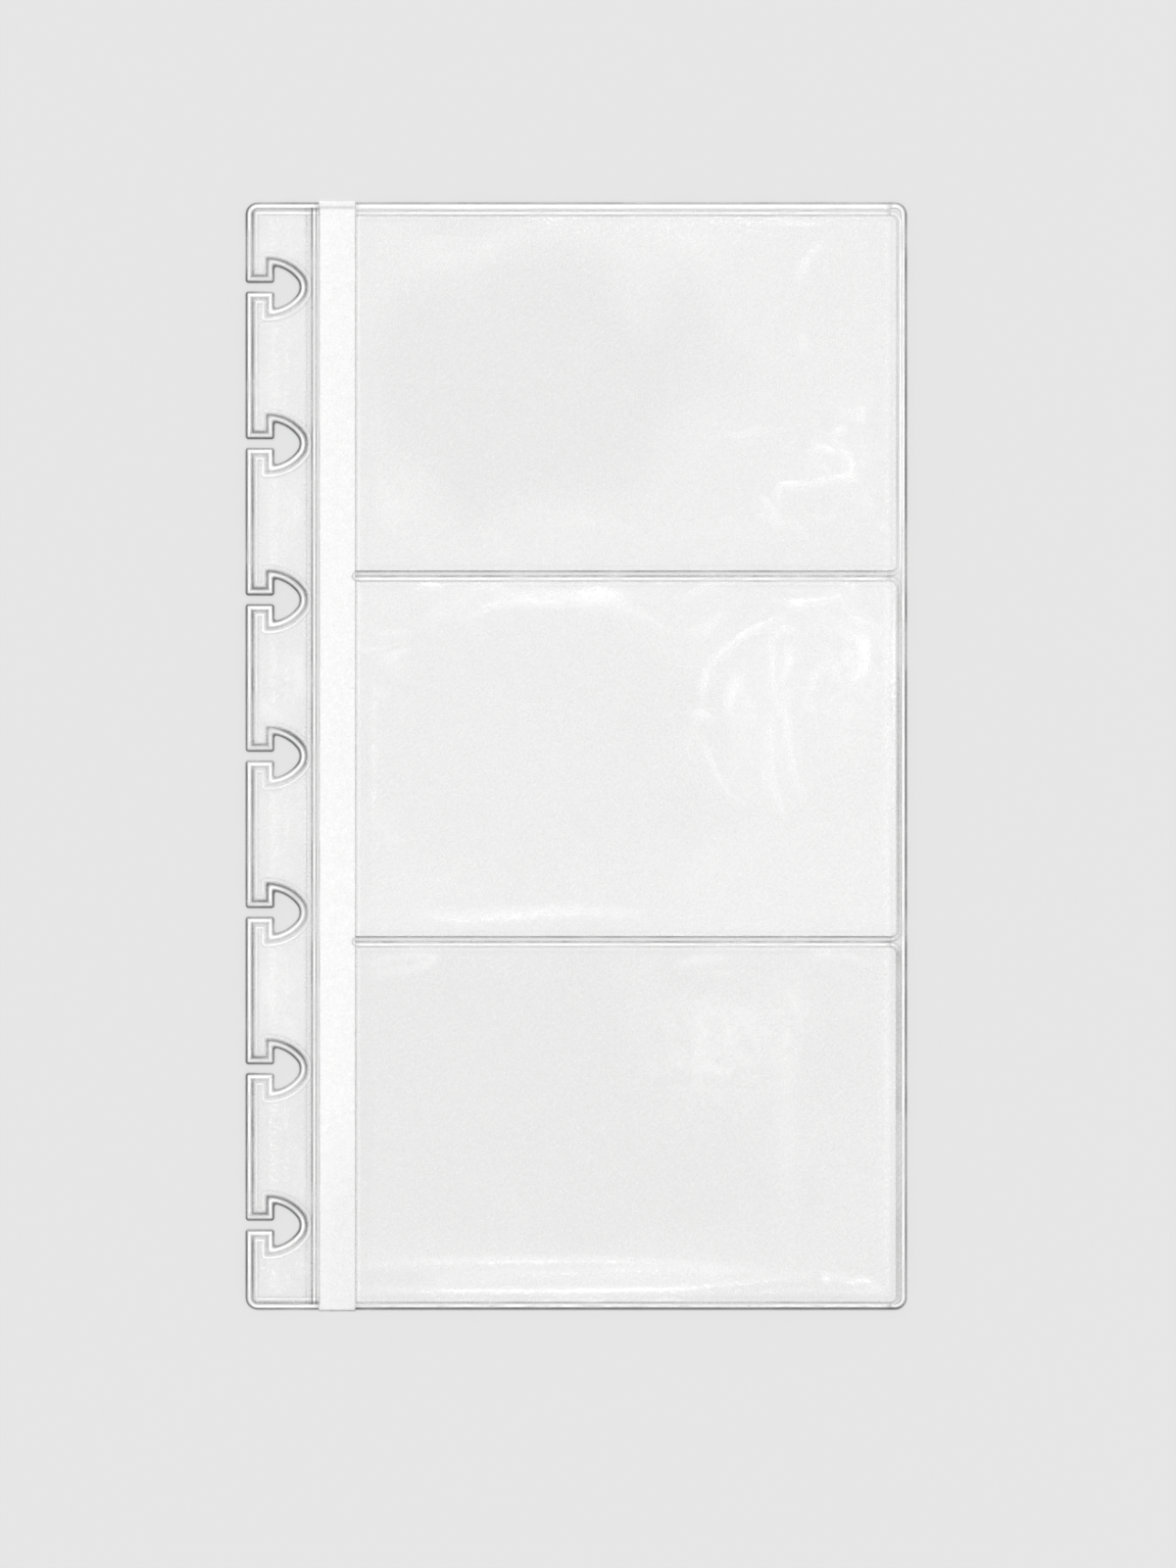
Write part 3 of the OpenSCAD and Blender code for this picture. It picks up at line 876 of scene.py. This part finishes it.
def world():
    """Even light from all round, with a pale backdrop for the camera and in reflections."""
    made = bpy.data.worlds.new("studio")
    made.use_nodes = True
    nodes, links = made.node_tree.nodes, made.node_tree.links
    nodes.clear()
    path = nodes.new("ShaderNodeLightPath")
    mix = nodes.new("ShaderNodeMixShader")
    out = nodes.new("ShaderNodeOutputWorld")
    for slot, strength in ((1, WORLD_LIGHT), (2, FLOOR)):
        light = nodes.new("ShaderNodeBackground")
        light.inputs["Color"].default_value = (1, 1, 1, 1)
        light.inputs["Strength"].default_value = strength
        links.new(light.outputs["Background"], mix.inputs[slot])
    seen = path.outputs["Is Camera Ray"]
    for ray in ("Is Glossy Ray", "Is Transmission Ray"):
        either = nodes.new("ShaderNodeMath")
        either.operation = "MAXIMUM"
        links.new(seen, either.inputs[0])
        links.new(path.outputs[ray], either.inputs[1])
        seen = either.outputs["Value"]
    links.new(seen, mix.inputs["Fac"])
    links.new(mix.outputs["Shader"], out.inputs["Surface"])
    bpy.context.scene.world = made


def lamp(name, bearing_to, tilt, spread, radiance):
    """A far round lamp, tilted from overhead towards a bearing."""
    light = bpy.data.lights.new(name, "SUN")
    light.angle = math.radians(2 * spread)
    light.energy = radiance * math.pi * math.sin(math.radians(spread)) ** 2
    holder = bpy.data.objects.new(name, light)
    a, t = math.radians(bearing_to), math.radians(tilt)
    way = Vector((math.sin(t) * math.cos(a), math.sin(t) * math.sin(a), math.cos(t)))
    holder.rotation_euler = way.to_track_quat("Z", "Y").to_euler()
    bpy.context.scene.collection.objects.link(holder)


def camera():
    """Looks straight down on the page."""
    data = bpy.data.cameras.new("camera")
    data.lens = LENS
    data.sensor_width = SENSOR
    eye = bpy.data.objects.new("camera", data)
    eye.location = Vector((EYE_X, EYE_Y, VIEW_H * LENS / SENSOR)) * MM
    bpy.context.scene.collection.objects.link(eye)
    bpy.context.scene.camera = eye


def binding_strip(film, smooth, weld):
    """The notched strip: two films, the weld round its edge and the seam weld."""
    body = "binding_strip"
    nodes = ("binding_tabs", "binding_spine")
    flat_film("binding_back", binding_edge(0, SEAM.right), 0, BACK_STEP, None, film, body, nodes)
    nodes = ("binding_front_film",)
    inner = binding_edge(STRIP.left, STRIP.right)
    flat_film("binding_front", inner, STRIP_Z, STRIP_STEP, "binding", smooth, body, nodes)
    outlines = partial(binding_edge, right=SEAM.right)
    run = ribbon(outlines, whole_section(BINDING_HEIGHTS, BINDING_LINES))
    weld_piece("binding_edge_bead", "binding_edge_weld", [run], body, weld)
    run = ribbon(seam_line, whole_section(SEAM_HEIGHTS, SEAM_LINES))
    weld_piece("seam_bead", "binding_seam_weld", [run], body, weld)


def pocket_leaf(film, weld):
    """The leaf with the pockets: back film, welds and pocket fronts."""
    body = "pocket_leaf"
    spans = [pocket_span(name) for name in POCKETS]
    outline = np.vstack(([(MOUTH_X, -TOP)], page_side(0)[::-1], [(MOUTH_X, TOP)]))
    flat_film("pocket_back", outline, 0, BACK_STEP, None, film, body, ("pocket_back_film",))
    runs = [
        (*ribbon(straight(TOP, -1), page_section(TOP_WELD_W, TOP_LINES)), "last"),
        (*ribbon(straight(spans[0][1], -1), pocket_section(TOP_WELD_W)), "first"),
    ]
    weld_piece("top_bead", "top_edge_weld", runs, body, weld)
    runs = [
        (*ribbon(straight(-TOP, 1), page_section(BOTTOM_WELD_W, BOTTOM_LINES)), "last"),
        (*ribbon(straight(spans[-1][0], 1), pocket_section(BOTTOM_WELD_W)), "first"),
    ]
    weld_piece("bottom_bead", "bottom_edge_weld", runs, body, weld)
    turned = [page_section(OUTER_WELD_W, table) for table in (TOP_LINES, BOTTOM_LINES)]
    runs = [ribbon(page_side, page_section(OUTER_WELD_W), turned=turned)]
    turned = [pocket_section(OUTER_WELD_W)] * 2
    for name, span in zip(POCKETS, spans):
        side = pocket_section(OUTER_WELD_W, SIDE_LINES[name])
        bottom, top = span
        outlines = partial(outer_side, right=POCKET_END, bottom=bottom, top=top, corner_r=POCKET_R)
        runs.append(ribbon(outlines, side, LIT_SIDE, turned))
    weld_piece("outer_bead", "outer_edge_weld", runs, body, weld)
    side = pocket_section(DIVIDER_WELD_W)
    for i, name in enumerate(("upper_divider", "lower_divider")):
        above, below = spans[i][0], spans[i + 1][1]
        runs = [(*ribbon(straight(y, way), side), "first") for y, way in ((above, 1), (below, -1))]
        weld_piece(f"{name}_bead", f"{name}_weld", [*runs, nub((above + below) / 2)], body, weld)
    for name in POCKETS:
        pocket_front(name, film)


def build():
    """The whole page, in its four materials."""
    film = vinyl("clear_film", ior=3.0, grain=0.055, bump=0.24)
    smooth = vinyl("strip_film", ior=3.0, grain=0.03, bump=0.07)
    band = vinyl("band_film", ior=1.8, grain=0.06, bump=0.3)
    weld = vinyl("weld_bead", ior=1.55, grain=0.04, bump=0.2)
    binding_strip(film, smooth, weld)
    fold_film(band)
    pocket_leaf(film, weld)


def light_up():
    """Light, floor and camera."""
    world()
    lamp("overhead", 0, *OVERHEAD)
    for side, bearing_to in WINDOW_BEARINGS.items():
        lamp(f"window_{side}", bearing_to, *WINDOW)
    floor()
    camera()
    scene = bpy.context.scene
    scene.view_settings.view_transform = "Standard"
    scene.cycles.transparent_max_bounces = CLEAR_FACES


build()
light_up()
